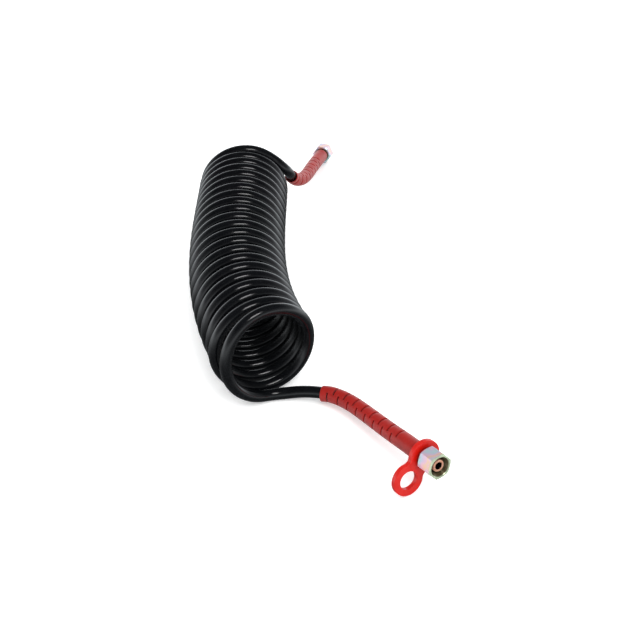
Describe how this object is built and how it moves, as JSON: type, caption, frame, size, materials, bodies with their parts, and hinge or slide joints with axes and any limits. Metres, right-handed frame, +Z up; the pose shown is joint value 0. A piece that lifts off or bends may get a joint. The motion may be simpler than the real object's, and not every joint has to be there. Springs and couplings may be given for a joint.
{
  "type": "coiled air hose",
  "caption": "Coiled air line for a trailer coupling: black tube wound as a spring, red slit sleeves, swivel union nuts on both ends and a red tag ring.",
  "frame": {"origin": "middle of the object's box, on the surface that the hose lies on", "axes": "+Y runs along the coil from the near fitting, the one with the tag ring, to the far fitting; +Z is up; +X is to the right of someone who looks along +Y"},
  "size_m": [0.218, 0.679, 0.105],
  "materials": {
    "tube": "extruded gloss, black polyamide",
    "sleeve": "satin moulded red elastomer",
    "tag": "soft gloss, orange-red moulded plastic",
    "nut": "zinc plated, clear iridescent passivation",
    "nipple": "turned",
    "ferrule": "zinc plated, crimped",
    "o_ring": "matt black seal rubber"
  },
  "bodies": {
    "near_end": {"coil_body": "tube", "near_lead_tube": "tube", "near_antikink_sleeve": "sleeve", "near_crimp_ferrule": "ferrule", "near_nipple": "nipple", "near_o_ring": "o_ring"},
    "near_nut": {"near_union_nut": "nut"},
    "tag_ring": {"near_tag_ring": "tag"},
    "far_end": {"far_lead_tube": "tube", "far_antikink_sleeve": "sleeve", "far_crimp_ferrule": "ferrule", "far_nipple": "nipple", "far_o_ring": "o_ring"},
    "far_nut": {"far_union_nut": "nut"}
  },
  "joints": [
    {"name": "coil_stretch", "type": "slide", "parent": "near_end", "child": "far_end", "axis": [0, 1, 0], "range_m": [-0.045, 3.3], "stiffness_N_per_m": 16, "deforming": ["coil_body"]},
    {"name": "near_nut_spin", "type": "hinge", "parent": "near_end", "child": "near_nut", "pos_m": [0.09825, -0.33473, 0.0373], "axis": [0.406, -0.895, 0.185], "continuous": true},
    {"name": "tag_ring_spin", "type": "hinge", "parent": "near_end", "child": "tag_ring", "pos_m": [0.08838, -0.31298, 0.0328], "axis": [-0.406, 0.895, -0.185], "continuous": true},
    {"name": "far_nut_spin", "type": "hinge", "parent": "far_end", "child": "far_nut", "pos_m": [0.08515, 0.33537, 0.0126], "axis": [0.3519, 0.9226, -0.1579], "continuous": true}
  ]
}
